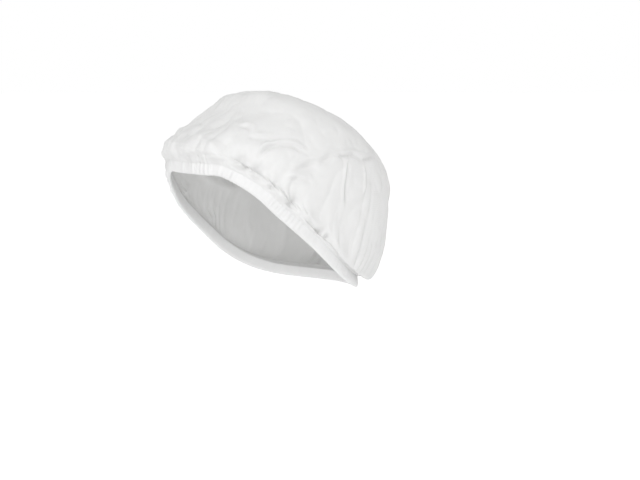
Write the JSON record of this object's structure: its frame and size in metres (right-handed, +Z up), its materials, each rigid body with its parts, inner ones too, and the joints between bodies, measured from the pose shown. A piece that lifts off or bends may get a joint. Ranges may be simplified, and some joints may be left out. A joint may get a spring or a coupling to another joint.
{
  "type": "disposable hair cover cap",
  "caption": "Gathered nonwoven hair cover cap: a soft full crown over a narrow elasticated hem, level across the brow and low at the nape.",
  "frame": {"origin": "the seat: the inside of the crown where the top of the head meets it", "axes": "+Z up out of the head, +Y towards the nape so that the wearer faces -Y, +X towards the wearer's left"},
  "size_m": [0.1674, 0.1982, 0.1706],
  "materials": {
    "crown_cloth": "matte white spunbond polypropylene with a fine bonded grain",
    "hem_cloth": "the same cloth, folded double over the elastic",
    "covered_elastic": "matte covered elastic"
  },
  "bodies": {
    "root": {"crown": "crown_cloth", "hem_casing": "hem_cloth", "elastic_band": "covered_elastic"}
  },
  "joints": []
}
